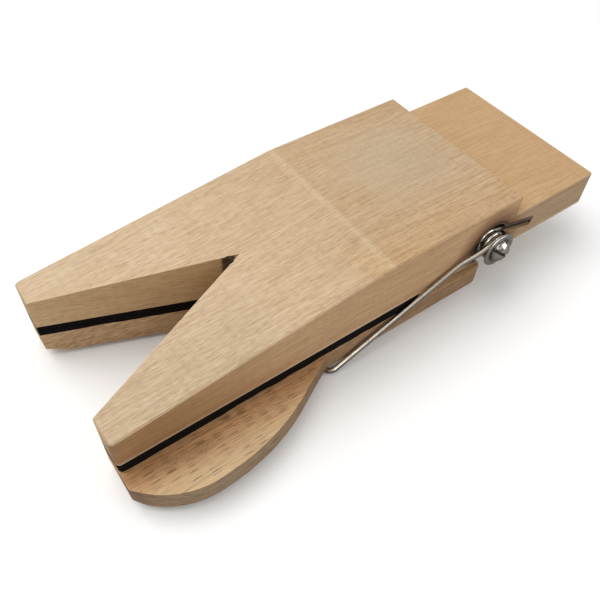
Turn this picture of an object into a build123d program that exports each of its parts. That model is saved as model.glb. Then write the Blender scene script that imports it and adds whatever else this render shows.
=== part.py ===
from build123d import *
from build123d.topology import SkipClean
import math
import os

# Jeweller's clamping bench pin, in millimetres
# The origin is on the underside of the upper board, at the shoulder line and mid-width.
# +X runs along the tongue, +Z is up, and the thumb tab is on the -Y side.

# Upper board and tongue
board_length = 158.0
board_width = 70.0
board_thickness = 23.0
tip_thickness = 12.2
slope_length = 98.0
tongue_length = 42.0
tongue_thickness = 14.5
tongue_inset = 1.5
tongue_root = 1.0
front_corner_radius = 1.5
shoulder_corner_radius = 0.8
tongue_corner_radius = 1.0
edge_ease = 0.45

# V notch through both boards and both linings
notch_half_width = 24.5
notch_depth = 63.5
relief_radius = 1.75
relief_setback = 4.15

# Linings
lining_thickness = 2.2
lining_gap = 0.2
lining_length = 114.0

# Lower board
lower_thickness = 10.0
lower_length = 146.2
lower_edge_bevel = 1.5
tip_bevel_height = 2.5
tip_bevel_length = 7.0
lower_rear_radius = 3.0

# Thumb tab: distance from the tips and reach past the board's side
tab_front_reach = 5.3
tab_front_bulge = (8.0, 12.9)
tab_crown = (26.0, 17.2)
tab_rear_bulge = (46.0, 13.9)
tab_rear_run = (62.0, 6.7)
tab_length = 74.6

# Fulcrum dowel, glued in the upper board
dowel_diameter = 8.0
dowel_from_tips = 120.0
dowel_end_margin = 2.0
dowel_end_clearance = 0.3
dowel_end_bevel = 0.5
groove_clearance = 0.08

# Spring wire, coils and legs
wire_diameter = 2.0
wire_sides = 12
coil_mean_radius = 4.4
coil_whole_turns = 2
coil_gap = 0.2
coil_from_tips = 146.5
coil_height = 7.0
bail_from_tips = 75.0
bail_corner_radius = 3.0
bail_sink = 0.2
bail_clearance = 0.3
leg_straight = 6.5
leg_turn_in = 8.5
leg_ease_radius = 24.0
slot_angle = 15.5
slot_length = 20.5
slot_clearance = 0.6
hook_depth = 6.0
hook_radius = 1.6
hook_hole_clearance = 0.3
hook_end_room = 1.0

# Spring pockets, washers and screws
pocket_radius = 8.2
pocket_depth = 2.6
stack_clearance = 0.1
washer_radius = 6.7
washer_thickness = 0.7
washer_bore_clearance = 0.3
washer_edge_bevel = 0.15
screw_head_radius = 4.5
screw_head_rim = 0.5
screw_head_dome = 2.5
screw_slot_width = 1.1
screw_slot_depth = 1.6
screw_slot_turn = 35.0
screw_shank_radius = 2.5
screw_bite = 20.0
screw_point_length = 4.0
screw_point_radius = 0.3

# Places worked out from the sizes above
half_width = board_width / 2
tip_x = -board_length
lower_top = -(2 * lining_thickness + lining_gap)
lower_bottom = lower_top - lower_thickness
dowel_x = tip_x + dowel_from_tips
dowel_z = lower_top / 2
dowel_length = board_width - 2 * dowel_end_margin
wire_radius = wire_diameter / 2
coil_x = tip_x + coil_from_tips
coil_pitch = wire_diameter + coil_gap
pocket_floor = half_width - pocket_depth
coil_inner_y = pocket_floor + stack_clearance + wire_radius
coil_outer_y = coil_inner_y + coil_whole_turns * coil_pitch
washer_inner_y = coil_outer_y + wire_radius + stack_clearance
screw_seat_y = washer_inner_y + washer_thickness
hook_tip_y = coil_inner_y - hook_depth
bail_x = tip_x + bail_from_tips
bail_z = lower_bottom - wire_radius + bail_sink
bail_half_width = half_width + bail_clearance + wire_radius
cut_margin = 5.0

# The front leg leaves the coil's top on a tangent and runs down to the bail.
# The rear leg leaves the coil's top on a tangent and runs down and inwards along its slot.
leg_reach = math.hypot(coil_x - bail_x, coil_height - bail_z)
leg_drop = math.atan2(coil_height - bail_z, coil_x - bail_x) + math.asin(coil_mean_radius / leg_reach)
slot_drop = math.radians(slot_angle)


def side_slab(points, width):
    """A slab as wide as given, from (x, z) points of its side view."""
    outline = make_face(Polyline(*[(x, 0, z) for x, z in points], close=True))
    return extrude(outline, amount=width / 2, dir=(0, 1, 0), both=True)


def round_bar(radius, length, x, z):
    """A round bar along Y, centred on the middle of the board."""
    return Pos(x, 0, z) * Cylinder(radius, length, rotation=(90, 0, 0))


def side_peg(radius, inner_y, outer_y, x, z):
    """A round peg along Y on the right side, between two distances from the middle."""
    peg = Cylinder(radius, outer_y - inner_y, rotation=(90, 0, 0))
    return Pos(x, -(inner_y + outer_y) / 2, z) * peg


def other_side(solid):
    """The same solid on the left side."""
    return mirror(solid, about=Plane.XZ)


def edges_at(solid, axis, value):
    """Edges that lie in the plane where the axis has this value."""
    tolerance = 0.01
    return solid.edges().filter_by_position(axis, value - tolerance, value + tolerance)


def notch_cutter():
    """The V notch and its drilled relief, through both boards."""
    apex_x = tip_x + notch_depth
    mouth_x = tip_x - cut_margin
    mouth_half = notch_half_width * (notch_depth + cut_margin) / notch_depth
    wedge = make_face(Polyline((mouth_x, mouth_half), (mouth_x, -mouth_half), (apex_x, 0), close=True))
    outline = wedge + Pos(apex_x - relief_setback, 0) * Circle(relief_radius)
    height = board_thickness - lower_bottom + 2 * cut_margin
    return Pos(0, 0, lower_bottom - cut_margin) * extrude(outline, amount=height, dir=(0, 0, 1))


def round_coil(angle, radius=coil_mean_radius):
    """The x and z of a point on the coil, by its angle from the top towards the tongue."""
    return coil_x + radius * math.sin(angle), coil_height + radius * math.cos(angle)


def slot_end():
    """Where the rear leg turns into the wood, as x and z."""
    x, z = round_coil(slot_drop)
    return x + slot_length * math.cos(slot_drop), z - slot_length * math.sin(slot_drop)


def spring_pocket():
    """Round pocket, leg slot and hook hole, cut in the right side."""
    outside = half_width + cut_margin
    half_slot = wire_radius + slot_clearance
    start_x, start_z = round_coil(slot_drop)
    end_x, end_z = slot_end()
    pocket = side_peg(pocket_radius, pocket_floor, outside, coil_x, coil_height)
    run = Box(slot_length, outside - pocket_floor, 2 * half_slot, rotation=(0, slot_angle, 0))
    middle_y = -(pocket_floor + outside) / 2
    slot = Pos((start_x + end_x) / 2, middle_y, (start_z + end_z) / 2) * run
    slot += side_peg(half_slot, pocket_floor, outside, end_x, end_z)
    hole_radius = wire_radius + hook_hole_clearance
    hole = side_peg(hole_radius, hook_tip_y - hook_end_room, outside, end_x, end_z)
    return pocket + slot + hole


def plan_of_board(length):
    """The board's outline from above, square at the rear, with its front corners rounded."""
    outline = Pos(tip_x + length / 2, 0) * Rectangle(length, board_width)
    corners = outline.vertices().group_by(Axis.X)[0]
    return fillet(corners, front_corner_radius)


def upper_block():
    """The upper board without its tongue, with its slope and its eased edges."""
    outline = plan_of_board(board_length)
    left_shoulder = outline.vertices().group_by(Axis.X)[-1].sort_by(Axis.Y)[-1]
    outline = fillet(left_shoulder, shoulder_corner_radius)
    break_x = tip_x + slope_length
    side = side_slab([
        (tip_x - cut_margin, 0),
        (cut_margin, 0),
        (cut_margin, board_thickness),
        (break_x, board_thickness),
        (tip_x, tip_thickness),
        (tip_x - cut_margin, tip_thickness),
    ], board_width + cut_margin)
    block = extrude(outline, amount=board_thickness, dir=(0, 0, 1)) & side

    radius = shoulder_corner_radius
    corner = Pos(-radius / 2, radius / 2 - half_width) * Rectangle(radius, radius)
    corner -= Pos(-radius, radius - half_width) * Circle(radius)
    above_tongue = Pos(0, 0, tongue_thickness)
    block -= above_tongue * extrude(corner, amount=board_thickness, dir=(0, 0, 1))

    top = edges_at(block, Axis.Z, board_thickness)
    top = [edge for edge in top if abs(edge.center().X - break_x) > edge_ease]
    slope = block.edges().filter_by_position(Axis.Z, tip_thickness - edge_ease, board_thickness - edge_ease)
    slope = [edge for edge in slope if edge.center().X < break_x]
    return chamfer(top + slope, edge_ease)


def tongue():
    """The flat tongue behind the shoulder line, set in on the left, with its root in the board."""
    length = tongue_length + tongue_root
    plan = Rectangle(length, board_width - tongue_inset)
    plan = Pos(length / 2 - tongue_root, -tongue_inset / 2) * plan
    plan = fillet(plan.vertices().group_by(Axis.X)[-1], tongue_corner_radius)
    slab = extrude(plan, amount=tongue_thickness, dir=(0, 0, 1))
    top = edges_at(slab, Axis.Z, tongue_thickness)
    top = [edge for edge in top if edge.center().X > 0]
    return chamfer(top, edge_ease)


def upper_jaw_board():
    """The thick upper board with its tongue, notch, groove and spring pockets.

    The tongue's faces stay apart from the board's, because they are what a bench's socket holds.
    """
    slab = tongue()
    block = upper_block() - slab
    cut = spring_pocket() + screw_body()
    with SkipClean():
        board = block + slab
        board -= notch_cutter()
        board -= round_bar(dowel_diameter / 2, dowel_length, dowel_x, dowel_z)
        board -= cut
        board -= other_side(cut)
    return board


def lower_side_view():
    """The lower board's side view, with bevelled tips and a rounded rear corner."""
    front = tip_x
    rear = tip_x + lower_length
    points = Polyline(
        (rear - lower_rear_radius, 0, lower_bottom),
        (front + tip_bevel_length, 0, lower_bottom),
        (front, 0, lower_bottom + tip_bevel_height),
        (front, 0, lower_top),
        (rear, 0, lower_top),
        (rear, 0, lower_bottom + lower_rear_radius),
    )
    inset = lower_rear_radius * (1 - math.sqrt(0.5))
    corner = ThreePointArc(
        (rear, 0, lower_bottom + lower_rear_radius),
        (rear - inset, 0, lower_bottom + inset),
        (rear - lower_rear_radius, 0, lower_bottom),
    )
    return make_face(Wire(points.edges() + corner.edges()))


def lower_plan():
    """The lower board from above, with the half-moon thumb tab on its right side."""
    def tab(point):
        return tip_x + point[0], -(half_width + point[1])

    front = tab((0, tab_front_reach))
    rear = tip_x + lower_length
    bow = ThreePointArc(front, tab(tab_front_bulge), tab(tab_crown))
    fall = ThreePointArc(tab(tab_crown), tab(tab_rear_bulge), tab(tab_rear_run))
    rest = Polyline(
        tab(tab_rear_run),
        tab((tab_length, 0)),
        (rear, -half_width),
        (rear, half_width),
        (tip_x, half_width),
        front,
    )
    return make_face(Wire(bow.edges() + fall.edges() + rest.edges()))


def lower_jaw_board():
    """The lower board with its tab, notch, fulcrum groove and bail groove."""
    plan = Pos(0, 0, lower_bottom) * lower_plan()
    board = extrude(plan, amount=lower_thickness, dir=(0, 0, 1))
    reach = board_width + 2 * tab_crown[1]
    board &= extrude(lower_side_view(), amount=reach, dir=(0, 1, 0), both=True)
    left_front = edges_at(board, Axis.X, tip_x).filter_by(Axis.Z).sort_by(Axis.Y)[-1]
    board = fillet(left_front, front_corner_radius)
    bottom = edges_at(board, Axis.Z, lower_bottom)
    sides = [edge for edge in bottom if abs(edge.center().Y) > half_width / 2]
    board = chamfer(sides, lower_edge_bevel)
    board -= notch_cutter()
    groove_length = dowel_length + 2 * dowel_end_clearance
    board -= round_bar(dowel_diameter / 2 + groove_clearance, groove_length, dowel_x, dowel_z)
    board -= round_bar(wire_radius + bail_clearance, board_width + 2 * cut_margin, bail_x, bail_z)
    return board


def lining(top):
    """A flat pad the size of the jaw's face, with its upper side at the given height."""
    pad = extrude(plan_of_board(lining_length), amount=-lining_thickness, dir=(0, 0, 1))
    return Pos(0, 0, top) * pad - notch_cutter()


def fulcrum_dowel():
    """The rod between the boards that the lower board rocks on."""
    rod = round_bar(dowel_diameter / 2, dowel_length, dowel_x, dowel_z)
    return chamfer(rod.edges().filter_by(GeomType.CIRCLE), dowel_end_bevel)


def coil_path():
    """The right coil's centreline, from the rear leg outwards to the front leg.

    Each half turn is a tilted half circle, so it meets the next one on a tangent. A flat arc at
    each end carries the coil on to its leg.
    """
    joint = (slot_drop - leg_drop) / 2
    side_radius = math.hypot(coil_mean_radius, coil_pitch / 4)

    def arc(start, end, inner_y, outer_y, radius):
        places = [(start, inner_y), ((start + end) / 2, (inner_y + outer_y) / 2), (end, outer_y)]
        radii = [coil_mean_radius, radius, coil_mean_radius]
        points = []
        for (angle, y), reach in zip(places, radii):
            x, z = round_coil(angle, reach)
            points.append((x, -y, z))
        return ThreePointArc(*points).edges()

    edges = arc(slot_drop, joint, coil_inner_y, coil_inner_y, coil_mean_radius)
    for half_turn in range(2 * coil_whole_turns):
        angle = joint - half_turn * math.pi
        y = coil_inner_y + half_turn * coil_pitch / 2
        edges += arc(angle, angle - math.pi, y, y + coil_pitch / 2, side_radius)
    return edges + arc(joint, -leg_drop, coil_outer_y, coil_outer_y, coil_mean_radius)


def wire_along(path):
    """Spring wire along a path, drawn with flat sides that are too fine to show."""
    section = Plane(origin=path @ 0, z_dir=path % 0) * RegularPolygon(wire_radius, wire_sides)
    return sweep(section, path=path)


def spring_coil():
    """The right coil with its rear leg and the hook at the leg's end."""
    start_x, start_z = round_coil(slot_drop)
    end_x, end_z = slot_end()
    leg = FilletPolyline(
        (end_x, -hook_tip_y, end_z),
        (end_x, -coil_inner_y, end_z),
        (start_x, -coil_inner_y, start_z),
        radius=hook_radius,
    )
    return wire_along(Wire(leg.edges() + coil_path()))


def spring_bail():
    """Both front legs and the crossbar under the lower board."""
    start_x, start_z = round_coil(-leg_drop)

    def along_leg(distance, y):
        return start_x - distance * math.cos(leg_drop), y, start_z - distance * math.sin(leg_drop)

    right = [
        along_leg(0, -coil_outer_y),
        along_leg(leg_straight, -coil_outer_y),
        along_leg(leg_straight + leg_turn_in, -bail_half_width),
        (bail_x, -bail_half_width, bail_z),
    ]
    left = [(x, -y, z) for x, y, z in reversed(right)]
    radii = [leg_ease_radius, leg_ease_radius, bail_corner_radius]
    return wire_along(FilletPolyline(*right, *left, radius=radii + radii[::-1]))


def washer():
    """The right washer, between the coil and the screw's head."""
    bore = screw_shank_radius + washer_bore_clearance
    ring = side_peg(washer_radius, washer_inner_y, screw_seat_y, coil_x, coil_height)
    ring = chamfer(edges_at(ring, Axis.Y, -screw_seat_y), washer_edge_bevel)
    return ring - side_peg(bore, 0, screw_seat_y + cut_margin, coil_x, coil_height)


def screw_body():
    """The right screw without its slot, turned about its own axis."""
    tip_y = pocket_floor - screw_bite
    rim_y = screw_seat_y + screw_head_rim
    apex_y = rim_y + screw_head_dome
    ball = (screw_head_radius ** 2 + screw_head_dome ** 2) / (2 * screw_head_dome)
    lean = math.asin(screw_head_radius / ball) / 2
    halfway = (ball * math.sin(lean), apex_y - ball * (1 - math.cos(lean)))
    dome = ThreePointArc((screw_head_radius, rim_y), halfway, (0, apex_y))
    rest = Polyline(
        (0, apex_y),
        (0, tip_y),
        (screw_point_radius, tip_y),
        (screw_shank_radius, tip_y + screw_point_length),
        (screw_shank_radius, screw_seat_y),
        (screw_head_radius, screw_seat_y),
        (screw_head_radius, rim_y),
    )
    half = make_face(Wire(dome.edges() + rest.edges()))
    turned = revolve(half, axis=Axis.Y)
    return Pos(coil_x, 0, coil_height) * mirror(turned, about=Plane.XZ)


def pivot_screw():
    """The right screw with the slot in its head."""
    apex_y = screw_seat_y + screw_head_rim + screw_head_dome
    size = 3 * screw_head_radius
    slot = Box(size, 2 * screw_slot_depth, screw_slot_width, rotation=(0, screw_slot_turn, 0))
    return screw_body() - Pos(coil_x, -apex_y, coil_height) * slot


def main():
    """Writes every piece to its own file."""
    coil = spring_coil()
    screw = pivot_screw()
    ring = washer()
    pieces = {
        "upper_jaw_board": upper_jaw_board(),
        "lower_jaw_board": lower_jaw_board(),
        "upper_lining": lining(0.0),
        "lower_lining": lining(lower_top + lining_thickness),
        "fulcrum_dowel": fulcrum_dowel(),
        "spring_bail": spring_bail(),
        "spring_coil_right": coil,
        "spring_coil_left": other_side(coil),
        "pivot_screw_right": screw,
        "pivot_screw_left": other_side(screw),
        "washer_right": ring,
        "washer_left": other_side(ring),
    }
    os.makedirs("parts", exist_ok=True)
    for name, solid in pieces.items():
        export_step(solid, f"parts/{name}.step")


main()
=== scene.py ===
import math

import bmesh
import bpy
from mathutils import Matrix, Vector, noise


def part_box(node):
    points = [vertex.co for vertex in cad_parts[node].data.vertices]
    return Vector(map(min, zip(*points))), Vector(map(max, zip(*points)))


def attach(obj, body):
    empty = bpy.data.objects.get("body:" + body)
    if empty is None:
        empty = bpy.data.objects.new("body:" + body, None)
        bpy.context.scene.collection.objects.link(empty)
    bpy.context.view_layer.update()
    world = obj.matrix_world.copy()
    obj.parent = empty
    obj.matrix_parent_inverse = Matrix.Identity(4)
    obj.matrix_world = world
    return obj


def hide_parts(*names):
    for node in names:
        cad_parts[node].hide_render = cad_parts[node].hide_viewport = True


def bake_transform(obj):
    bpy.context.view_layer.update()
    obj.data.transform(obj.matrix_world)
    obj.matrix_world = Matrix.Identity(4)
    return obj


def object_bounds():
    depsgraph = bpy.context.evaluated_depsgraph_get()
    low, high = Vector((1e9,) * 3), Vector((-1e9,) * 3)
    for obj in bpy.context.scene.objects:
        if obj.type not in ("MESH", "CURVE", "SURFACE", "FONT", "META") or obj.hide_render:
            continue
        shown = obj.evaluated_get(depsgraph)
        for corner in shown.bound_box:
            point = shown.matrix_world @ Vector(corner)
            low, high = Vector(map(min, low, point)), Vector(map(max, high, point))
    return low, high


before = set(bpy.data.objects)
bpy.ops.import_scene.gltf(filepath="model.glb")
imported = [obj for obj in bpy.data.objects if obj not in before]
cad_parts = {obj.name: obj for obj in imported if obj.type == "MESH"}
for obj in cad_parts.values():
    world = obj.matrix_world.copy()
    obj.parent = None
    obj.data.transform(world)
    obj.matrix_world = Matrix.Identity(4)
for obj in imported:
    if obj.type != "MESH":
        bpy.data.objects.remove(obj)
cad_low, cad_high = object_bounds()

# Lengths are given in millimetres and become metres by this factor
MM = 0.001

# Camera, found from the photograph's perspective
CAMERA_PLACE = Vector((-168.577, -128.457, 176.164)) * MM
CAMERA_TARGET = Vector((-82.417, -17.381, 5.0)) * MM
CAMERA_ROLL = math.radians(2.94)
CAMERA_LENS = 39.93
CAMERA_SENSOR = 36.0

# Stage, in metres and watts: each lamp's name, place, side and power
LAMP_TARGET = (-0.06, -0.01, 0.0)
LAMPS = (
    ("overhead", (-0.35, 0.35, 0.85), 0.9, 7.2),
    ("side", (0.25, -0.35, 0.18), 0.25, 0.45),
    ("front", (-0.35, -0.7, 0.6), 0.3, 0.7),
)
FLOOR_HALF = 2.5
CARD_HALF = 0.6

# How far the floor and the card lie below the part
FLOOR_DROP = 0.1
CARD_DROP = 0.05

# Spring wire and its route, in the CAD part's own sizes.
# The wire is a hair thinner than there, so that it stays inside the CAD part's box.
WIRE_RADIUS = 0.985
WIRE_SIDES = 20
COIL_X = -11.5
COIL_Z = 7.0
COIL_RADIUS = 4.4
COIL_TURNS = 2
COIL_PITCH = 2.2
COIL_INNER_Y = 33.5
COIL_OUTER_Y = COIL_INNER_Y + COIL_TURNS * COIL_PITCH
POINTS_PER_TURN = 48
ARC_STEP = math.radians(6)
BAIL_X = -83.0
BAIL_Z = -15.4
BAIL_HALF_WIDTH = 36.3
BAIL_CORNER_RADIUS = 3.0
LEG_STRAIGHT = 6.5
LEG_TURN_IN = 8.5
LEG_EASE_RADIUS = 24.0
SLOT_DROP = math.radians(15.5)
SLOT_LENGTH = 20.5
HOOK_DEPTH = 6.0
HOOK_RADIUS = 1.6
LEG_REACH = math.hypot(COIL_X - BAIL_X, COIL_Z - BAIL_Z)
LEG_DROP = math.atan2(COIL_Z - BAIL_Z, COIL_X - BAIL_X) + math.asin(COIL_RADIUS / LEG_REACH)

# Where the rear leg leaves the coil, and where it turns into the wood
SLOT_START_X = COIL_X + COIL_RADIUS * math.sin(SLOT_DROP)
SLOT_START_Z = COIL_Z + COIL_RADIUS * math.cos(SLOT_DROP)
SLOT_END_X = SLOT_START_X + SLOT_LENGTH * math.cos(SLOT_DROP)
SLOT_END_Z = SLOT_START_Z - SLOT_LENGTH * math.sin(SLOT_DROP)

# Screws and washers
TURNED_SIDES = 64
HEAD_RADIUS = 4.5
HEAD_RIM = 0.5
HEAD_EASE = 0.08
DOME_RINGS = 15
SHANK_RADIUS = 2.5
SHANK_ROOT = 1.85
SHANK_RINGS = 96
PLAIN_SHANK_LENGTH = 5.0
PLAIN_SHANK_RADIUS = SHANK_RADIUS * 0.98
POINT_LENGTH = 4.0
THREAD_PITCH = 1.8
THREAD_FLANK = 0.3
DRIVER_SLOT_LENGTH = 12.0
DRIVER_SLOT_WIDTH = 1.1
DRIVER_SLOT_DEPTH = 1.6
DRIVER_SLOT_TURN = math.radians(35)
WASHER_BORE = SHANK_RADIUS + 0.3
WASHER_ROLL = 0.22
WASHER_BURR = 0.1

# Places on the boards
BREAK_X = -60.0
TOP_Z = 23.0
HALF_WIDTH = 35.0
TONGUE_INSET = 1.5
RELIEF_X = -98.65
POCKET_RADIUS = 8.2
POCKET_DEPTH = 2.6
LEG_SLOT_HALF = 1.6
PATCH_MIDDLE = (-24.0, 6.0, TOP_Z)
PATCH_REACH = (27.0, 25.0, 6.0)
KNOTS = (
    ((-134.5, -41.0, -4.6), (7.0, 2.6, 3.0)),
    ((-144.5, -40.5, -4.6), (5.0, 2.2, 3.0)),
)

# Grain of the wood
RING_SPACING = 3.4
GRAIN_WAVE = 5.0
FLECK_LENGTH = 3.3
FLECK_WIDTH = 0.3
STROKE_LENGTH = 5.4
STROKE_WIDTH = 0.36
# Width of the pale edges: worn wood, with a painted highlight
WORN_AND_LIT_EDGE = 0.7

# Linings, and the length of the nicks and the wobble along their cut edges
PAD_SPACING = 1.2
PAD_SOFTNESS = 0.12
NICK_LENGTH = 7.0
WOBBLE_LENGTH = 1.7


def screen(red, green, blue):
    """A colour from screen values of 0 to 255."""
    def linear(value):
        value /= 255
        return value / 12.92 if value <= 0.04045 else ((value + 0.055) / 1.055) ** 2.4
    return linear(red), linear(green), linear(blue), 1.0


def grey(value):
    """A grey from its linear value."""
    return value, value, value, 1


class Graph:
    """A node tree, with short calls for the nodes that the materials share."""

    def __init__(self, tree):
        self.tree = tree

    def node(self, kind, **settings):
        made = self.tree.nodes.new(kind)
        for name, value in settings.items():
            setattr(made, name, value)
        return made

    def put(self, socket, value):
        if isinstance(value, bpy.types.NodeSocket):
            self.tree.links.new(value, socket)
        else:
            socket.default_value = value

    def fill(self, sockets, values):
        for socket, value in zip(sockets, values):
            self.put(socket, value)

    def math(self, operation, *values, clamp=False):
        made = self.node("ShaderNodeMath", operation=operation, use_clamp=clamp)
        self.fill(made.inputs, values)
        return made.outputs[0]

    def plus(self, *values):
        """The sum of any number of values."""
        total = values[0]
        for value in values[1:]:
            total = self.math("ADD", total, value)
        return total

    def minus(self, first, second):
        return self.math("SUBTRACT", first, second)

    def times(self, *values):
        """The product of any number of values."""
        product = values[0]
        for value in values[1:]:
            product = self.math("MULTIPLY", product, value)
        return product

    def most(self, first, second):
        return self.math("MAXIMUM", first, second)

    def absolute(self, value):
        return self.math("ABSOLUTE", value)

    def inverse(self, mask):
        """What a mask of 0 to 1 leaves out."""
        return self.minus(1.0, mask)

    def vector(self, operation, *values):
        made = self.node("ShaderNodeVectorMath", operation=operation)
        self.fill(made.inputs, values)
        return made.outputs["Value" if operation in ("DOT_PRODUCT", "LENGTH") else "Vector"]

    def length(self, vector):
        return self.vector("LENGTH", vector)

    def split(self, vector):
        made = self.node("ShaderNodeSeparateXYZ")
        self.put(made.inputs[0], vector)
        return made.outputs

    def join(self, x, y, z):
        made = self.node("ShaderNodeCombineXYZ")
        self.fill(made.inputs, (x, y, z))
        return made.outputs[0]

    def step(self, value, low, high, start=0.0, end=1.0):
        """Goes smoothly from start to end as value goes from low to high."""
        made = self.node("ShaderNodeMapRange", interpolation_type="SMOOTHSTEP")
        self.fill(made.inputs, (value, low, high, start, end))
        return made.outputs[0]

    def noise(self, place, scale, detail=2.0, roughness=0.5, distortion=0.0):
        """Noise from 0 to 1, with its own scale along each axis in cycles per millimetre."""
        made = self.node("ShaderNodeTexNoise")
        self.put(made.inputs["Vector"], self.vector("MULTIPLY", place, scale))
        self.put(made.inputs["Scale"], 1.0)
        self.put(made.inputs["Detail"], detail)
        self.put(made.inputs["Roughness"], roughness)
        self.put(made.inputs["Distortion"], distortion)
        return made.outputs["Fac"]

    def even_noise(self, place, scale, detail=2.0, roughness=0.5):
        """Noise with the same scale along every axis."""
        return self.noise(place, (scale, scale, scale), detail, roughness)

    def cells(self, sheet, length, width):
        """Random cells on a sheet: the distance to a cell's middle, and the cell's random value."""
        made = self.node("ShaderNodeTexVoronoi", feature="F1", voronoi_dimensions="2D")
        self.put(made.inputs["Vector"], self.vector("DIVIDE", sheet, (length, width, 1.0)))
        self.put(made.inputs["Scale"], 1.0)
        return made.outputs["Distance"], self.split(made.outputs["Color"])[0]

    def mix(self, factor, first, second, blend="MIX"):
        """Mixes two colours."""
        made = self.node("ShaderNodeMix", data_type="RGBA", blend_type=blend)
        self.fill((made.inputs[0], made.inputs[6], made.inputs[7]), (factor, first, second))
        return made.outputs[2]

    def tint(self, factor, colour, shade):
        """Darkens a colour towards its product with a shade."""
        return self.mix(factor, colour, shade, "MULTIPLY")

    def bump(self, height, strength, distance):
        made = self.node("ShaderNodeBump")
        self.put(made.inputs["Height"], height)
        self.put(made.inputs["Strength"], strength)
        self.put(made.inputs["Distance"], distance * MM)
        return made.outputs[0]

    def place(self):
        """The point on the part, in millimetres."""
        coordinates = self.node("ShaderNodeTexCoord")
        return self.vector("DIVIDE", coordinates.outputs["Object"], (MM, MM, MM))

    def facing_up(self):
        """How far the surface faces up, from -1 to 1."""
        return self.split(self.node("ShaderNodeTexCoord").outputs["Normal"])[2]

    def edge(self, radius):
        """How near the point is to a sharp edge, from 0 to 1."""
        rounded = self.node("ShaderNodeBevel", samples=6)
        self.put(rounded.inputs["Radius"], radius * MM)
        flat = self.node("ShaderNodeNewGeometry").outputs["True Normal"]
        agreement = self.vector("DOT_PRODUCT", rounded.outputs[0], flat)
        return self.step(agreement, 0.99, 0.8)


def new_material(name):
    """A material with a bare surface shader: the material, its graph and the shader's inputs."""
    material = bpy.data.materials.new(name)
    material.use_nodes = True
    shader = material.node_tree.nodes["Principled BSDF"]
    return material, Graph(material.node_tree), shader.inputs


def round_coil(angle):
    """The x and z of a point on the coil, by its angle from the top towards the tongue."""
    return COIL_X + COIL_RADIUS * math.sin(angle), COIL_Z + COIL_RADIUS * math.cos(angle)


def off_axis(graph, place):
    """A point's offset from the axis that the coil, the washer and the screw share."""
    x, _, z = graph.split(place)
    return graph.join(graph.minus(x, COIL_X), 0.0, graph.minus(z, COIL_Z))


def above_slot(graph, place):
    """How far a point lies above the middle of the slot for the rear leg."""
    x, _, z = graph.split(place)
    from_start_x = graph.times(graph.minus(x, SLOT_START_X), math.sin(SLOT_DROP))
    return graph.plus(from_start_x, graph.times(graph.minus(z, SLOT_START_Z), math.cos(SLOT_DROP)))


# Wood

def around_pith(graph, place, pith):
    """The point's place in the log: along the grain, round the pith and out from it."""
    x, y, z = graph.split(place)
    sideways = graph.minus(y, pith[0])
    upwards = graph.minus(z, pith[1])
    squares = graph.plus(graph.times(sideways, sideways), graph.times(upwards, upwards))
    round_pith = graph.times(graph.math("ARCTAN2", sideways, upwards), math.hypot(*pith))
    return graph.join(x, round_pith, graph.math("SQRT", squares))


def on_sheet(graph, log, flat):
    """The log's place laid flat: along the grain, and across it in the face it is seen on."""
    x, round_pith, radius = graph.split(log)
    across = graph.plus(graph.times(round_pith, flat), graph.times(radius, graph.inverse(flat)))
    return graph.join(x, across, 0.0)


def wavy(graph, place, reach):
    """The place with the grain's slow waves in it."""
    drift = graph.noise(place, (0.009, 0.03, 0.03), detail=1.0)
    swing = graph.times(graph.minus(drift, 0.5), reach)
    return graph.vector("ADD", place, graph.join(0.0, swing, swing))


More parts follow.
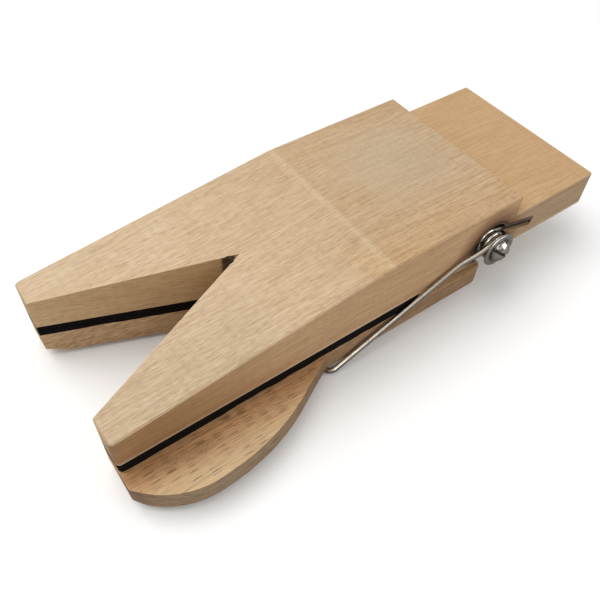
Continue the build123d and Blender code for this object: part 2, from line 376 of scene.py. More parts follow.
def beech(name, pith, pale, dark, ray, fleck_strength=1.0, zones=None):
    """Bare sanded beech: fine fibre, soft streaks, short ray flecks and pale edges, partly wear and
    partly a painted highlight.

    The zones are a function that paints a board's own tones and marks over the wood.
    """
    material, graph, surface = new_material(name)
    place = graph.place()
    log = wavy(graph, around_pith(graph, place, pith), GRAIN_WAVE)
    radius = graph.split(log)[2]

    rings_out = graph.math("DIVIDE", radius, RING_SPACING)
    ring_place = graph.plus(rings_out, graph.noise(log, (0.02, 0.1, 0.1)))
    ring = graph.math("POWER", graph.math("FRACT", ring_place), 5.0)
    flat = graph.step(graph.absolute(graph.facing_up()), 0.4, 0.8)
    round_pith_scale = graph.step(flat, 0.0, 1.0, 0.16, 1.0)
    radius_scale = graph.step(flat, 0.0, 1.0, 1.0, 0.3)
    layers = graph.vector("MULTIPLY", log, graph.join(1.0, round_pith_scale, radius_scale))
    fibre = graph.step(graph.noise(layers, (0.05, 2.2, 2.2), roughness=0.6), 0.36, 0.64)
    fine = graph.step(graph.noise(layers, (0.12, 4.4, 4.4), roughness=0.6), 0.36, 0.64)
    streak = graph.step(graph.noise(log, (0.012, 0.25, 0.25), detail=3.0), 0.3, 0.7)
    cloud = graph.noise(place, (0.018, 0.03, 0.03))
    pores = graph.step(graph.noise(layers, (0.3, 4.5, 4.5)), 0.57, 0.7)

    sheet = on_sheet(graph, log, flat)
    ray_distance, ray_choice = graph.cells(sheet, FLECK_LENGTH, FLECK_WIDTH)
    flecks = graph.times(graph.step(ray_distance, 0.4, 0.18), graph.step(ray_choice, 0.45, 1.0))

    weights = ((fibre, 0.36), (fine, 0.42), (streak, 0.12), (ring, 0.12))
    shade = graph.plus(*[graph.times(value, weight) for value, weight in weights])
    shade = graph.math("ADD", shade, graph.times(graph.minus(cloud, 0.5), 0.2), clamp=True)
    wood = graph.mix(shade, pale, dark)
    wood = graph.mix(graph.times(pores, 0.3), wood, ray)
    wood = graph.mix(graph.times(flecks, 0.42 * fleck_strength), wood, ray)
    if zones is not None:
        wood = zones(graph, place, sheet, wood)

    # Pale edges: worn bare wood, and a painted highlight where the edges would catch the light.
    patchy = graph.step(graph.even_noise(place, 0.3, detail=3.0), 0.3, 0.6)
    worn_and_lit_edges = graph.times(graph.edge(WORN_AND_LIT_EDGE), patchy, 0.35)
    bare = tuple(min(1, 1.25 * value) for value in pale[:3]) + (1.0,)
    graph.put(surface["Base Color"], graph.mix(worn_and_lit_edges, wood, bare))

    roughness = graph.plus(0.5, graph.times(fibre, 0.16))
    graph.put(surface["Roughness"], graph.minus(roughness, graph.times(flecks, 0.12)))
    surface["Specular IOR Level"].default_value = 0.35
    relief = graph.minus(graph.times(fine, 0.5), graph.times(pores, 0.5))
    graph.put(surface["Normal"], graph.bump(relief, 0.45, 0.1))
    return material


def painted_shade_in_cuts(graph, place, wood):
    """Paints shade into the cuts: the spring pockets, the leg slots and the notch's drilled relief,
    whose end grain is darker too, and painted shade on the faces round the pocket and above the
    slot.
    """
    x, y, z = graph.split(place)
    set_in = graph.times(graph.step(x, -0.1, 0.0), graph.step(y, 0.0, 1.0), TONGUE_INSET)
    depth = graph.minus(graph.minus(HALF_WIDTH, set_in), graph.absolute(y))
    inside = graph.step(depth, 0.05, 0.4)
    from_coil = graph.length(off_axis(graph, place))
    from_leg = above_slot(graph, place)
    behind_coil = graph.step(x, COIL_X, COIL_X + 2.0)

    in_pocket = graph.times(
        graph.step(from_coil, POCKET_RADIUS + 0.4, POCKET_RADIUS + 0.1),
        graph.step(depth, POCKET_DEPTH + 0.3, POCKET_DEPTH + 0.1),
    )
    in_slot = graph.times(
        graph.step(graph.absolute(from_leg), LEG_SLOT_HALF + 0.4, LEG_SLOT_HALF + 0.1),
        behind_coil,
        graph.step(x, SLOT_END_X + 2.2, SLOT_END_X + 1.8),
    )
    # Painted shade inside the pocket and the slot, lighter on faces that look up.
    facing_up = graph.facing_up()
    shaded = graph.step(facing_up, 0.8, 0.3, 0.3, 1.0)
    cut = graph.times(inside, graph.most(in_pocket, in_slot), shaded)
    # The notch's drilled relief: painted shade, and its end grain is darker too.
    from_relief = graph.length(graph.join(graph.minus(x, RELIEF_X), y, 0.0))
    upright = graph.step(graph.absolute(facing_up), 0.6, 0.3)
    relief = graph.times(graph.step(from_relief, 3.0, 2.2), upright)

    # Painted shade on the outer faces round the pocket and just above the slot.
    near_pocket = graph.step(from_coil, POCKET_RADIUS + 2.4, POCKET_RADIUS + 0.4)
    near_slot = graph.times(
        graph.step(from_leg, LEG_SLOT_HALF + 1.9, LEG_SLOT_HALF + 0.9),
        graph.step(from_leg, 0.0, 1.0),
        behind_coil,
        graph.step(x, SLOT_END_X + 2.6, SLOT_END_X + 1.0),
    )
    outside = graph.times(graph.inverse(inside), graph.step(z, -1.0, 0.0))
    painted_shade_around = graph.times(graph.most(near_pocket, near_slot), 0.85, outside)
    wood = graph.mix(painted_shade_around, wood, screen(62, 41, 28))
    shade_mottle = graph.step(graph.even_noise(place, 0.5, detail=3.0), 0.25, 0.7)
    painted_shade_inside = graph.times(graph.most(cut, relief), graph.plus(0.66, graph.times(shade_mottle, 0.3)))
    return graph.mix(painted_shade_inside, wood, screen(50, 32, 24))


def upper_faces(graph, place, on_top, level, wood):
    """The upper board from above: its slope, its amber right side and its tongue."""
    x, y, _ = graph.split(place)
    slope = graph.times(graph.step(x, BREAK_X + 4.0, BREAK_X - 50.0), level)
    wood = graph.tint(graph.inverse(slope), wood, screen(244, 240, 236))

    clouds = graph.step(graph.noise(place, (0.02, 0.05, 0.05)), 0.4, 0.7)
    amber = graph.plus(graph.step(y, -8.0, -33.0), graph.times(clouds, 0.5))
    wood = graph.tint(graph.times(amber, on_top, 0.36), wood, screen(253, 240, 216))

    tongue = graph.times(graph.step(x, -0.2, 0.1), level)
    wood = graph.mix(graph.times(tongue, 0.35), wood, screen(198, 170, 134))
    return graph.tint(tongue, wood, screen(249, 237, 220))


def upper_sides(graph, place, sides, wood):
    """The upper board's upright faces: its long sides, the sawn ones and its lowest edge."""
    x, y, z = graph.split(place)
    outermost = graph.step(graph.absolute(y), HALF_WIDTH - 3.0, HALF_WIDTH - 2.0)
    outside = graph.times(sides, outermost)
    sawn = graph.times(sides, graph.inverse(outermost))
    # Painted shade: the outer sides darken towards the front tips.
    painted_front_shade = graph.times(outside, graph.step(x, -95.0, -150.0))
    tongue = graph.times(sides, graph.step(x, -4.0, 6.0))
    low = graph.times(outside, graph.step(z, 8.0, 0.0), graph.step(x, -10.0, -60.0), 0.35)
    for mask, shade in (
        (outside, screen(243, 229, 213)),
        (sawn, (1.0, 0.93, 0.79, 1.0)),
        (painted_front_shade, screen(216, 204, 186)),
        (tongue, screen(230, 238, 250)),
        (low, screen(226, 204, 180)),
    ):
        wood = graph.tint(mask, wood, shade)
    lowest = graph.times(outside, graph.step(z, 1.6, 0.3), 0.4)
    return graph.mix(lowest, wood, screen(206, 188, 162))


def upper_marks(graph, place, on_top, sides, level, wood):
    """Painted shade round the spring, and what use left on the upper board: the break line and a
    worn patch.
    """
    x, y, _ = graph.split(place)
    behind = graph.times(graph.step(x, BREAK_X - 1.0, BREAK_X + 1.0), on_top)
    wood = graph.tint(behind, wood, screen(250, 248, 246))
    # Painted shade: the sides darken towards the spring's pocket.
    from_coil = graph.length(off_axis(graph, place))
    painted_shade_by_spring = graph.times(graph.step(from_coil, 19.0, POCKET_RADIUS), sides)
    wood = graph.tint(painted_shade_by_spring, wood, screen(172, 152, 134))

    ragged = graph.even_noise(place, 0.4, detail=3.0)
    from_break = graph.absolute(graph.minus(x, graph.plus(BREAK_X, graph.times(ragged, 0.9))))
    dots = graph.step(graph.noise(place, (1.2, 0.9, 1.0), detail=3.0, roughness=0.7), 0.38, 0.62)
    line = graph.times(graph.step(from_break, 1.9, 0.0), on_top, graph.plus(0.3, dots), 0.3)
    wood = graph.mix(line, wood, screen(224, 204, 174))
    right_arm = graph.times(graph.step(y, -4.0, -30.0), graph.step(x, -92.0, -112.0), level)
    wood = graph.tint(right_arm, wood, screen(242, 242, 242))

    offset = graph.vector("DIVIDE", graph.vector("SUBTRACT", place, PATCH_MIDDLE), PATCH_REACH)
    spread = graph.plus(graph.length(offset), graph.times(graph.minus(ragged, 0.5), 1.2))
    patch = graph.times(graph.step(spread, 1.15, 0.3), on_top)
    wood = graph.mix(graph.times(patch, 0.36), wood, screen(190, 172, 146))
    scuffs = graph.step(graph.noise(place, (1.9, 0.7, 1.0), detail=3.0, roughness=0.7), 0.42, 0.6)
    return graph.mix(graph.times(patch, scuffs, 0.4), wood, screen(160, 142, 118))


def upper_zones(graph, place, _sheet, wood):
    """The upper board's own tones and marks."""
    on_top = graph.step(graph.split(place)[2], TOP_Z - 1.5, TOP_Z - 0.5)
    sides = graph.step(graph.facing_up(), 0.8, 0.4)
    level = graph.inverse(sides)
    wood = upper_faces(graph, place, on_top, level, wood)
    wood = upper_sides(graph, place, sides, wood)
    wood = upper_marks(graph, place, on_top, sides, level, wood)
    return painted_shade_in_cuts(graph, place, wood)


def lower_zones(graph, place, sheet, wood):
    """The lower board's own tones with painted shade next to the upper board, and the thumb tab's
    dark strokes and small knots.
    """
    y = graph.split(place)[1]
    tab = graph.step(y, -33.0, -36.0)
    sides = graph.step(graph.facing_up(), 0.8, 0.4)
    inner = graph.times(graph.step(y, -50.0, -36.0), tab)
    outer = graph.times(tab, graph.inverse(inner), graph.inverse(sides))
    wood = graph.mix(graph.times(outer, 0.42), wood, screen(204, 185, 148))

    distance, choice = graph.cells(sheet, STROKE_LENGTH, STROKE_WIDTH)
    patchy = graph.step(graph.noise(sheet, (0.06, 0.3, 1.0)), 0.4, 0.62)
    share = graph.plus(graph.times(patchy, 0.32), graph.times(inner, 0.28))
    strokes = graph.times(graph.step(distance, 0.36, 0.26), graph.step(choice, share, 0.0), tab)
    wood = graph.mix(graph.times(strokes, 0.9), wood, screen(66, 40, 24))
    # Painted shade next to the upper board, over the wood's own darker tone there.
    wood = graph.tint(graph.times(inner, 0.55), wood, screen(224, 190, 156))

    curl = graph.noise(place, (0.7, 2.0, 2.0), detail=3.0, roughness=0.6, distortion=1.2)
    squiggle = graph.step(graph.absolute(graph.minus(curl, 0.5)), 0.05, 0.01)
    for middle, reach in KNOTS:
        offset = graph.vector("DIVIDE", graph.vector("SUBTRACT", place, middle), reach)
        near = graph.step(graph.length(offset), 1.2, 0.3)
        wood = graph.mix(graph.times(near, 0.3), wood, screen(150, 108, 70))
        wood = graph.mix(graph.times(squiggle, near, 0.55), wood, screen(74, 44, 24))
    wood = graph.tint(sides, wood, screen(236, 242, 250))
    wood = graph.tint(graph.times(sides, tab), wood, screen(212, 216, 225))
    return painted_shade_in_cuts(graph, place, wood)


# Lining, wire and fasteners

def rubber():
    """Matt black lining with a fine grain and a little wood dust."""
    material, graph, surface = new_material("lining")
    place = graph.place()
    grain = graph.even_noise(place, 3.0, detail=4.0, roughness=0.7)
    dust = graph.times(graph.step(graph.even_noise(place, 1.6, detail=3.0), 0.64, 0.78), 0.2)
    black = graph.mix(grain, screen(6, 5, 5), screen(24, 20, 18))
    graph.put(surface["Base Color"], graph.mix(dust, black, screen(110, 92, 74)))
    graph.put(surface["Roughness"], graph.plus(0.72, graph.times(grain, 0.2)))
    surface["Specular IOR Level"].default_value = 0.1
    graph.put(surface["Normal"], graph.bump(grain, 0.6, 0.15))
    return material


def metal(name, bright, dull, roughness, mark_scale, tarnished, slotted=False):
    """Bright metal with fine marks and a little tarnish, and grime at the screw head's rim.

    A slotted one has grime in the driver's slot too.
    """
    material, graph, surface = new_material(name)
    place = graph.place()
    marks = graph.even_noise(place, mark_scale, detail=4.0, roughness=0.6)
    tarnish = graph.step(graph.even_noise(place, 0.5, detail=4.0, roughness=0.65), 0.5, 0.75)
    polish = graph.mix(graph.times(tarnish, tarnished), bright, dull)
    from_axis = off_axis(graph, place)
    from_rim = graph.absolute(graph.minus(graph.length(from_axis), HEAD_RADIUS))
    caked = graph.times(graph.step(from_rim, 0.8, 0.1), graph.step(marks, 0.3, 0.6))
    if slotted:
        across_slot = (math.sin(DRIVER_SLOT_TURN), 0.0, math.cos(DRIVER_SLOT_TURN))
        from_slot = graph.absolute(graph.vector("DOT_PRODUCT", from_axis, across_slot))
        half = DRIVER_SLOT_WIDTH / 2
        caked = graph.most(caked, graph.step(from_slot, half + 0.1, half - 0.1))
    coated = graph.mix(graph.times(caked, 0.85), polish, screen(42, 36, 30))
    graph.put(surface["Base Color"], coated)
    surface["Metallic"].default_value = 1.0
    rough = graph.plus(roughness - 0.06, graph.times(marks, 0.12), graph.times(tarnish, 0.12))
    graph.put(surface["Roughness"], rough)
    graph.put(surface["Normal"], graph.bump(marks, 0.25, 0.03))
    return material


def drawn_wire():
    """Spring wire with drawing lines along it, rougher where it is sunk in its slot, with painted
    shade there that is strongest on its upper half.
    """
    material, graph, surface = new_material("spring_wire")
    place = graph.place()
    along = graph.node("ShaderNodeUVMap", uv_map="wire").outputs[0]
    lines = graph.noise(along, (0.06, 3.0, 1.0), detail=4.0, roughness=0.65)
    tarnish = graph.noise(place, (0.16, 0.4, 0.4), detail=4.0, roughness=0.6)
    tarnish = graph.step(tarnish, 0.46, 0.7)
    shine = graph.step(lines, 0.35, 0.65)
    steel = graph.mix(shine, screen(198, 190, 176), screen(222, 215, 202))
    steel = graph.mix(graph.times(tarnish, 0.32), steel, screen(156, 144, 128))

    # Painted shade on the leg sunk in its slot, strongest on its upper half.
    x, y, _ = graph.split(place)
    beside = graph.step(graph.absolute(y), HALF_WIDTH + 0.3, HALF_WIDTH - 0.3)
    sunk = graph.times(beside, graph.step(x, -9.0, -5.0))
    shaded = graph.step(above_slot(graph, place), -0.7, 0.1, 0.3, 0.95)
    painted_shade_in_slot = graph.mix(graph.times(sunk, shaded), steel, screen(50, 36, 28))
    graph.put(surface["Base Color"], painted_shade_in_slot)
    surface["Metallic"].default_value = 1.0
    roughness = ((lines, 0.1), (sunk, 0.3), (tarnish, 0.14))
    added = [graph.times(value, weight) for value, weight in roughness]
    graph.put(surface["Roughness"], graph.plus(0.12, *added))
    graph.put(surface["Normal"], graph.bump(lines, 0.08, 0.01))
    return material


# Meshes

def place_object(name, data):
    """Puts a mesh, a lamp or a camera into the scene."""
    placed = bpy.data.objects.new(name, data)
    bpy.context.scene.collection.objects.link(placed)
    return placed


def finished_mesh(name, mesh, material=None):
    """Turns a bmesh into mesh data with a material."""
    data = bpy.data.meshes.new(name)
    mesh.to_mesh(data)
    mesh.free()
    if material is not None:
        data.materials.append(material)
    return data


def new_piece(name, mesh, material, node, body=None):
    """Puts a bmesh into the scene as a piece that stands for a CAD node."""
    piece = place_object(name, finished_mesh(name, mesh, material))
    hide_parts(node)
    if body is not None:
        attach(piece, body)
    return piece


def smooth(piece, angle):
    """Smooth shading, sharp where faces meet at more than the angle."""
    piece.data.shade_smooth()
    piece.data.set_sharp_from_angle(angle=math.radians(angle))


def soften(piece, name, width, segments, angle):
    """Bevels the edges where faces meet at more than the angle."""
    bevel = piece.modifiers.new(name, "BEVEL")
    bevel.width = width * MM
    bevel.segments = segments
    bevel.limit_method = "ANGLE"
    bevel.angle_limit = math.radians(angle)
    return bevel


def clean_copy(node):
    """A bmesh of a CAD node, with whole flat faces in place of triangles."""
    mesh = bmesh.new()
    mesh.from_mesh(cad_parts[node].data)
    bmesh.ops.remove_doubles(mesh, verts=mesh.verts, dist=0.001 * MM)
    flat = math.radians(1.0)
    bmesh.ops.dissolve_limit(mesh, angle_limit=flat, verts=mesh.verts, edges=mesh.edges)
    return mesh


def worn_board(name, node, material, body, edge_width):
    """A CAD board with its sharp edges sanded over."""
    piece = new_piece(name, clean_copy(node), material, node, body)
    sharp = 28
    smooth(piece, sharp)
    bevel = soften(piece, "sanded edges", edge_width, 3, sharp)
    bevel.use_clamp_overlap = True
    bevel.harden_normals = True


def resampled(corners, spacing):
    """Points along a closed outline, each with its outward direction."""
    points = []
    for here, after in zip(corners, corners[1:] + corners[:1]):
        run = after - here
        outward = Vector((run.y, -run.x, 0)).normalized()
        count = max(1, math.ceil(run.length / spacing))
        points += [(here + run * (i / count), outward) for i in range(count)]
    return points


def knife_cut(place, waver):
    """How far a hand-held knife strayed inwards at a place: long shallow nicks and fine wobble."""
    nick = max(0, noise.noise(place / (NICK_LENGTH * MM)) - 0.15)
    wobble = abs(noise.noise(place / (WOBBLE_LENGTH * MM)))
    return waver * MM * (2.2 * nick + 0.3 * wobble)


def cut_pad(name, node, material, body, waver):
    """A lining whose edges are cut by hand with a knife."""
    flat = clean_copy(node)
    lid = max(flat.faces, key=lambda face: face.calc_center_median().z)
    corners = [loop.vert.co.copy() for loop in lid.loops]
    flat.free()
    low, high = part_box(node)
    softness = PAD_SOFTNESS * MM
    levels = [
        (low.z, softness),
        (low.z + softness, 0.0),
        ((low.z + high.z) / 2, 0.0),
        (high.z - softness, 0.0),
        (high.z, softness),
    ]
    mesh = bmesh.new()
    rings = []
    for z, inset in levels:
        ring = []
        for point, outward in resampled(corners, PAD_SPACING * MM):
            place = Vector((point.x, point.y, z))
            ring.append(mesh.verts.new(place - outward * (inset + knife_cut(place, waver))))
        rings.append(ring)
    for below, above in zip(rings, rings[1:]):
        for i in range(len(below)):
            j = (i + 1) % len(below)
            mesh.faces.new((below[i], below[j], above[j], above[i]))
    mesh.faces.new(list(reversed(rings[0])))
    mesh.faces.new(rings[-1])
    bmesh.ops.recalc_face_normals(mesh, faces=mesh.faces)
    smooth(new_piece(name, mesh, material, node, body), 50)


def rounded_route(corners, radii):
    """Points along straight runs joined by arcs, one radius for each inner corner."""
    points = [corners[0]]
    for before, corner, after, radius in zip(corners, corners[1:], corners[2:], radii):
        arriving = (corner - before).normalized()
        leaving = (after - corner).normalized()
        bend = arriving.angle(leaving)
        setback = radius * math.tan(bend / 2)
        centre = corner + (leaving - arriving).normalized() * radius / math.cos(bend / 2)
        start = corner - arriving * setback - centre
        axis = arriving.cross(leaving).normalized()
        steps = max(2, math.ceil(bend / ARC_STEP))
        for i in range(steps + 1):
            points.append(centre + Matrix.Rotation(bend * i / steps, 3, axis) @ start)
    points.append(corners[-1])
    return points


def tube(mesh, route, radius):
    """Adds a round wire along a route, with eased ends and a UV map in millimetres."""
    uv = mesh.loops.layers.uv.new("wire")
    end_length, end_scale = 0.2 * radius, 0.8
    first = (route[1] - route[0]).normalized()
    last = (route[-1] - route[-2]).normalized()
    stations = [(route[0], end_scale), (route[0] + first * end_length, 1.0)]
    stations += [(point, 1.0) for point in route[1:-1]]
    stations += [(route[-1] - last * end_length, 1.0), (route[-1], end_scale)]
    rings, distance = [], 0.0
    across = first.orthogonal().normalized()
    for i, (point, scale) in enumerate(stations):
        before = stations[max(i - 1, 0)][0]
        after = stations[min(i + 1, len(stations) - 1)][0]
        along = (after - before).normalized()
        across = (across - along * across.dot(along)).normalized()
        up = along.cross(across)
        distance += (point - before).length / MM
        ring = []
        for k in range(WIRE_SIDES):
            angle = 2 * math.pi * k / WIRE_SIDES
            outward = across * math.cos(angle) + up * math.sin(angle)
            ring.append(mesh.verts.new(point + scale * radius * outward))
        rings.append((ring, distance))
    around = 2 * math.pi * radius / MM / WIRE_SIDES
    for (below, start), (above, end) in zip(rings, rings[1:]):
        for k in range(WIRE_SIDES):
            m = (k + 1) % WIRE_SIDES
            face = mesh.faces.new((below[k], below[m], above[m], above[k]))
            places = [(start, k), (start, k + 1), (end, k + 1), (end, k)]
            for loop, (u, v) in zip(face.loops, places):
                loop[uv].uv = (u, v * around)
    mesh.faces.new(list(reversed(rings[0][0])))
    mesh.faces.new(rings[-1][0])


def coil_rise(turned):
    """How far out the coil has moved, in half turns that each lean like a tilted ring."""
    half_turns = min(max(turned / math.pi, 0), 2 * COIL_TURNS)
    whole = math.floor(half_turns)
    part = half_turns - whole
    return COIL_PITCH / 2 * (whole + (1 - math.cos(math.pi * part)) / 2)


def coil_route(side):
    """The wire's centre from the hook's tip through the rear leg and the coil, on one side."""
    corners = [
        Vector((SLOT_END_X, side * (COIL_INNER_Y - HOOK_DEPTH), SLOT_END_Z)) * MM,
        Vector((SLOT_END_X, side * COIL_INNER_Y, SLOT_END_Z)) * MM,
        Vector((SLOT_START_X, side * COIL_INNER_Y, SLOT_START_Z)) * MM,
    ]
    points = rounded_route(corners, [HOOK_RADIUS * MM])
    spare = (LEG_DROP + SLOT_DROP) / 2
    sweep = 2 * math.pi * COIL_TURNS + 2 * spare
    steps = POINTS_PER_TURN * COIL_TURNS
    for i in range(1, steps + 1):
        turned = sweep * i / steps
        x, z = round_coil(SLOT_DROP - turned)
        y = COIL_INNER_Y + coil_rise(turned - spare)
        points.append(Vector((x, side * y, z)) * MM)
    return points


def bail_route():
    """The wire's centre down the right leg, under the lower board and up the left leg."""
    start_x, start_z = round_coil(-LEG_DROP)

    def on_leg(distance, y):
        x = start_x - distance * math.cos(LEG_DROP)
        return Vector((x, y, start_z - distance * math.sin(LEG_DROP))) * MM

    right = [
        on_leg(0, -COIL_OUTER_Y),
        on_leg(LEG_STRAIGHT, -COIL_OUTER_Y),
        on_leg(LEG_STRAIGHT + LEG_TURN_IN, -BAIL_HALF_WIDTH),
        Vector((BAIL_X, -BAIL_HALF_WIDTH, BAIL_Z)) * MM,
    ]
    left = [Vector((point.x, -point.y, point.z)) for point in reversed(right)]
    radii = [LEG_EASE_RADIUS * MM, LEG_EASE_RADIUS * MM, BAIL_CORNER_RADIUS * MM]
    return rounded_route(right + left, radii + radii[::-1])


def wire_piece(name, route, material, node):
    """A stretch of the spring wire."""
    mesh = bmesh.new()
    tube(mesh, route, WIRE_RADIUS * MM)
    bmesh.ops.recalc_face_normals(mesh, faces=mesh.faces)
    piece = new_piece(name, mesh, material, node)
    smooth(piece, 50)
    return piece


def turned_ring(mesh, side, y, radii):
    """A ring of points about the coil's axis, one radius for each point."""
    ring = []
    for k, radius in enumerate(radii):
        angle = 2 * math.pi * k / TURNED_SIDES
        x, z = COIL_X + radius * math.sin(angle), COIL_Z + radius * math.cos(angle)
        ring.append(mesh.verts.new(Vector((x, side * y, z)) * MM))
    return ring


def lathe(mesh, profile, side):
    """Turns a profile of (radius, distance from the middle) about the coil's axis."""
    rings = []
    for radius, y in profile:
        if radius == 0:
            rings.append([mesh.verts.new(Vector((COIL_X, side * y, COIL_Z)) * MM)])
        else:
            rings.append(turned_ring(mesh, side, y, [radius] * TURNED_SIDES))
    return rings


def skin(mesh, rings, closed=False):
    """Joins rings of points with faces. A ring of one point is a pole."""
    pairs = list(zip(rings, rings[1:]))
    if closed:
        pairs.append((rings[-1], rings[0]))
    for below, above in pairs:
        count = max(len(below), len(above))
        for k in range(count):
            m = (k + 1) % count
            corners = [
                below[k % len(below)],
                below[m % len(below)],
                above[m % len(above)],
                above[k % len(above)],
            ]
            mesh.faces.new(list(dict.fromkeys(corners)))
    bmesh.ops.recalc_face_normals(mesh, faces=mesh.faces)


def from_middle(low, high):
    """How near a box comes to the part's middle, and how far it reaches sideways."""
    return sorted((abs(low.y) / MM, abs(high.y) / MM))


def washer(side, label, material):
    """A punched washer, rolled over at its rim."""
    node = f"washer_{label}"
    low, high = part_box(node)
    inner_y, outer_y = from_middle(low, high)
    rim = (high.x - low.x) / 2 / MM
    profile = [
        (WASHER_BORE, inner_y + WASHER_BURR),
        (WASHER_BORE + WASHER_BURR, inner_y),
        (rim - WASHER_ROLL / 2, inner_y),
        (rim, inner_y + WASHER_ROLL / 2),
        (rim, outer_y - WASHER_ROLL),
        (rim - 0.3 * WASHER_ROLL, outer_y - 0.3 * WASHER_ROLL),
        (rim - WASHER_ROLL, outer_y),
        (WASHER_BORE + WASHER_ROLL, outer_y),
        (WASHER_BORE, outer_y - WASHER_ROLL),
    ]
    mesh = bmesh.new()
    skin(mesh, lathe(mesh, profile, side), closed=True)
    name = f"spring_washer_{label}"
    smooth(new_piece(name, mesh, material, node, "upper_jaw"), 50)


def thread_radius(y, angle):
    """The shank's radius where its thread winds past."""
    phase = (y / THREAD_PITCH + angle / (2 * math.pi)) % 1
    crest = max(0, 1 - abs(phase - 0.5) / THREAD_FLANK)
    return SHANK_ROOT + (SHANK_RADIUS - SHANK_ROOT) * crest


def screw_mesh(side, seat_y, tip_y, apex_y):
    """The screw's domed head and threaded shank, before its slot is cut."""
    rim_y = seat_y + HEAD_RIM
    dome = apex_y - rim_y
    ball = (HEAD_RADIUS ** 2 + dome ** 2) / (2 * dome)
    lean = math.asin(HEAD_RADIUS / ball)
    angles = [2 * math.pi * k / TURNED_SIDES for k in range(TURNED_SIDES)]
    mesh = bmesh.new()
    rings = lathe(mesh, [(0, tip_y)], side)
    for row in range(1, SHANK_RINGS + 1):
        y = tip_y + (seat_y - tip_y) * row / SHANK_RINGS
        taper = min(1, (y - tip_y) / POINT_LENGTH)
        if y < seat_y - PLAIN_SHANK_LENGTH:
            radii = [thread_radius(y, angle) * taper for angle in angles]
        else:
            radii = [PLAIN_SHANK_RADIUS] * TURNED_SIDES
        rings.append(turned_ring(mesh, side, y, radii))
    head = [
        (HEAD_RADIUS - HEAD_EASE, seat_y),
        (HEAD_RADIUS, seat_y + HEAD_EASE),
        (HEAD_RADIUS, rim_y),
    ]
    for i in range(1, DOME_RINGS):
        angle = lean * (1 - i / DOME_RINGS)
        head.append((ball * math.sin(angle), apex_y - ball * (1 - math.cos(angle))))
    head.append((0, apex_y))
    skin(mesh, rings + lathe(mesh, head, side))
    return mesh


def cut_slot(piece, side, apex_y):
    """Cuts the driver's slot across the head."""
    block = bmesh.new()
    bmesh.ops.create_cube(block, size=1.0)
    turn = Matrix.Rotation(DRIVER_SLOT_TURN, 4, "Y")
    place = Matrix.Translation(Vector((COIL_X, side * apex_y, COIL_Z)) * MM)
    size = (DRIVER_SLOT_LENGTH * MM, 2 * DRIVER_SLOT_DEPTH * MM, DRIVER_SLOT_WIDTH * MM, 1)
    block.transform(place @ turn @ Matrix.Diagonal(size))
    cutter = place_object("slot cutter", finished_mesh("slot cutter", block))
    boolean = piece.modifiers.new("slot", "BOOLEAN")
    boolean.operation = "DIFFERENCE"
    boolean.solver = "EXACT"
    boolean.object = cutter
    bpy.context.view_layer.update()
    evaluated = piece.evaluated_get(bpy.context.evaluated_depsgraph_get())
    cut = bpy.data.meshes.new_from_object(evaluated)
    piece.modifiers.clear()
    piece.data = cut
    bpy.data.objects.remove(cutter)


def screw(side, label, material):
    """A slotted screw with a polished dome."""
    node = f"pivot_screw_{label}"
    tip_y, apex_y = from_middle(*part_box(node))
    seat_y = from_middle(*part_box(f"washer_{label}"))[1]
    mesh = screw_mesh(side, seat_y, tip_y, apex_y)
    piece = new_piece(f"domed_screw_{label}", mesh, material, node)
    cut_slot(piece, side, apex_y)
    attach(piece, "upper_jaw")
    smooth(piece, 35)
    soften(piece, "worn slot", 0.06, 2, 50)


# Stage

def make_camera():
    """The camera, at the photograph's viewing angle."""
    data = bpy.data.cameras.new("camera")
    data.lens = CAMERA_LENS
    data.sensor_width = CAMERA_SENSOR
    data.clip_start = 0.01
    camera = place_object("camera", data)
    gaze = (CAMERA_TARGET - CAMERA_PLACE).normalized()
    level = gaze.cross(Vector((0, 0, 1))).normalized()
    right = Matrix.Rotation(-CAMERA_ROLL, 3, gaze) @ level
    up = right.cross(gaze)
    turn = Matrix((right, up, -gaze)).transposed().to_4x4()
    camera.matrix_world = Matrix.Translation(CAMERA_PLACE) @ turn
    bpy.context.scene.camera = camera


def flat_sheet(name, half, drop, material):
    """A square sheet of the stage: half its side in metres, and its drop below the part."""
    mesh = bmesh.new()
    corners = [(-half, -half), (half, -half), (half, half), (-half, half)]
    height = cad_low.z - drop * MM
    mesh.faces.new([mesh.verts.new((x, y, height)) for x, y in corners])
    sheet = place_object(name, finished_mesh(name, mesh, material))
    return sheet


def make_floor():
    """A plain pale floor just under the spring's crossbar."""
    material, graph, surface = new_material("floor")
    tone = graph.even_noise(graph.place(), 0.01)
    pale = graph.mix(tone, screen(248, 248, 247), screen(251, 251, 251))
    graph.put(surface["Base Color"], pale)
    surface["Roughness"].default_value = 0.8
    surface["Specular IOR Level"].default_value = 0.2
    flat_sheet("floor", FLOOR_HALF, FLOOR_DROP, material)


def soft_box(name, place, side, power):
    """A square studio lamp that points at the object."""
    data = bpy.data.lights.new(name, "AREA")
    data.shape = "RECTANGLE"
    data.size = data.size_y = side
    data.energy = power
    lamp = place_object(name, data)
    lamp.location = place
    gaze = Vector(LAMP_TARGET) - Vector(place)
    lamp.rotation_euler = gaze.to_track_quat("-Z", "Y").to_euler()


def make_dark_card():
    """A grey card on the floor that only reflections see, for the metal's darker undersides."""
    material, _, surface = new_material("dark card")
    surface["Base Color"].default_value = (0.2, 0.2, 0.19, 1)
    surface["Roughness"].default_value = 1.0
    card = flat_sheet("dark card", CARD_HALF, CARD_DROP, material)
    for ray in ("camera", "diffuse", "transmission", "volume_scatter", "shadow"):
        setattr(card, f"visible_{ray}", False)


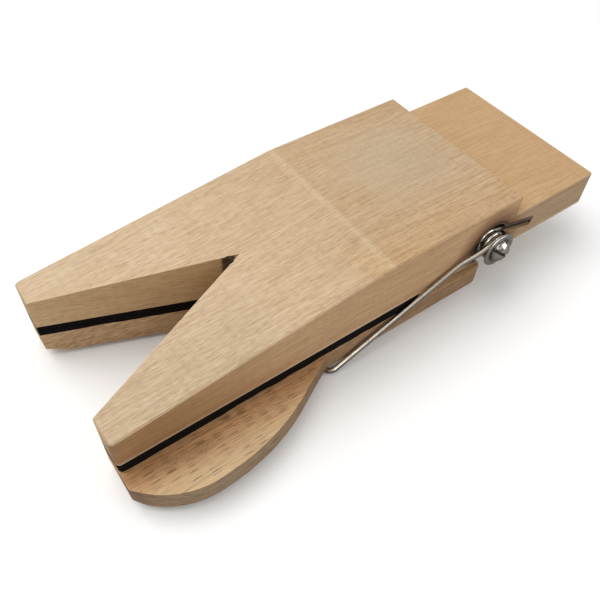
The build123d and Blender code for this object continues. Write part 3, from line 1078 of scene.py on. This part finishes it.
def make_light():
    """A plain soft studio: a bright room that is darker in reflections, and three soft lamps."""
    world = bpy.data.worlds.new("studio")
    bpy.context.scene.world = world
    world.use_nodes = True
    graph = Graph(world.node_tree)
    height = graph.split(graph.node("ShaderNodeTexCoord").outputs["Generated"])[2]
    walls = graph.mix(graph.step(height, -0.1, 0.9), grey(0.45), grey(0.58))
    mirrored = graph.mix(graph.step(height, 0.05, 0.7), grey(0.09), grey(0.64))
    rays = graph.node("ShaderNodeLightPath").outputs
    room = graph.mix(rays["Is Glossy Ray"], walls, mirrored)
    room = graph.mix(rays["Is Camera Ray"], room, grey(0.96))
    graph.put(world.node_tree.nodes["Background"].inputs["Color"], room)
    for name, place, side, power in LAMPS:
        soft_box(name, place, side, power)
    make_dark_card()
    view = bpy.context.scene.view_settings
    view.view_transform = "Standard"
    view.look = "None"


# The object

def make_boards():
    """The two jaws, their linings and the rod between them."""
    upper = beech(
        "upper_beech", (18.0, -78.0), screen(212, 188, 155), screen(180, 152, 117),
        screen(144, 106, 70), zones=upper_zones,
    )
    lower = beech(
        "lower_beech", (-30.0, -64.0), screen(222, 184, 136), screen(154, 110, 68),
        screen(112, 72, 42), fleck_strength=0.8, zones=lower_zones,
    )
    rod = beech(
        "dowel_beech", (3.0, 30.0), screen(205, 170, 128), screen(170, 130, 90),
        screen(120, 80, 50),
    )
    worn_board("upper_board", "upper_jaw_board", upper, "upper_jaw", 0.3)
    worn_board("lower_board", "lower_jaw_board", lower, "lower_jaw", 0.35)
    worn_board("dowel_rod", "fulcrum_dowel", rod, "upper_jaw", 0.15)
    black = rubber()
    cut_pad("upper_pad", "upper_lining", black, "upper_jaw", 0.2)
    cut_pad("lower_pad", "lower_lining", black, "lower_jaw", 0.3)


def make_spring():
    """The wire: the bail, which swings, and a coil on each side."""
    steel = drawn_wire()
    bail = wire_piece("wire_bail", bail_route(), steel, "spring_bail")
    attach(bail, "spring_arm")
    for side, label in ((-1, "right"), (1, "left")):
        coil = wire_piece(f"wire_coil_{label}", coil_route(side), steel, f"spring_coil_{label}")
        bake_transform(coil)


def make_fasteners():
    """The screws and washers that hold the coils."""
    nickel = metal(
        "screw_plate", screen(232, 226, 214), screen(170, 156, 136),
        roughness=0.14, mark_scale=2.5, tarnished=0.2, slotted=True,
    )
    zinc = metal(
        "washer_steel", screen(214, 212, 208), screen(150, 142, 130),
        roughness=0.3, mark_scale=4.0, tarnished=0.4,
    )
    for side, label in ((-1, "right"), (1, "left")):
        washer(side, label, zinc)
        screw(side, label, nickel)


make_camera()
make_floor()
make_light()
make_boards()
make_spring()
make_fasteners()
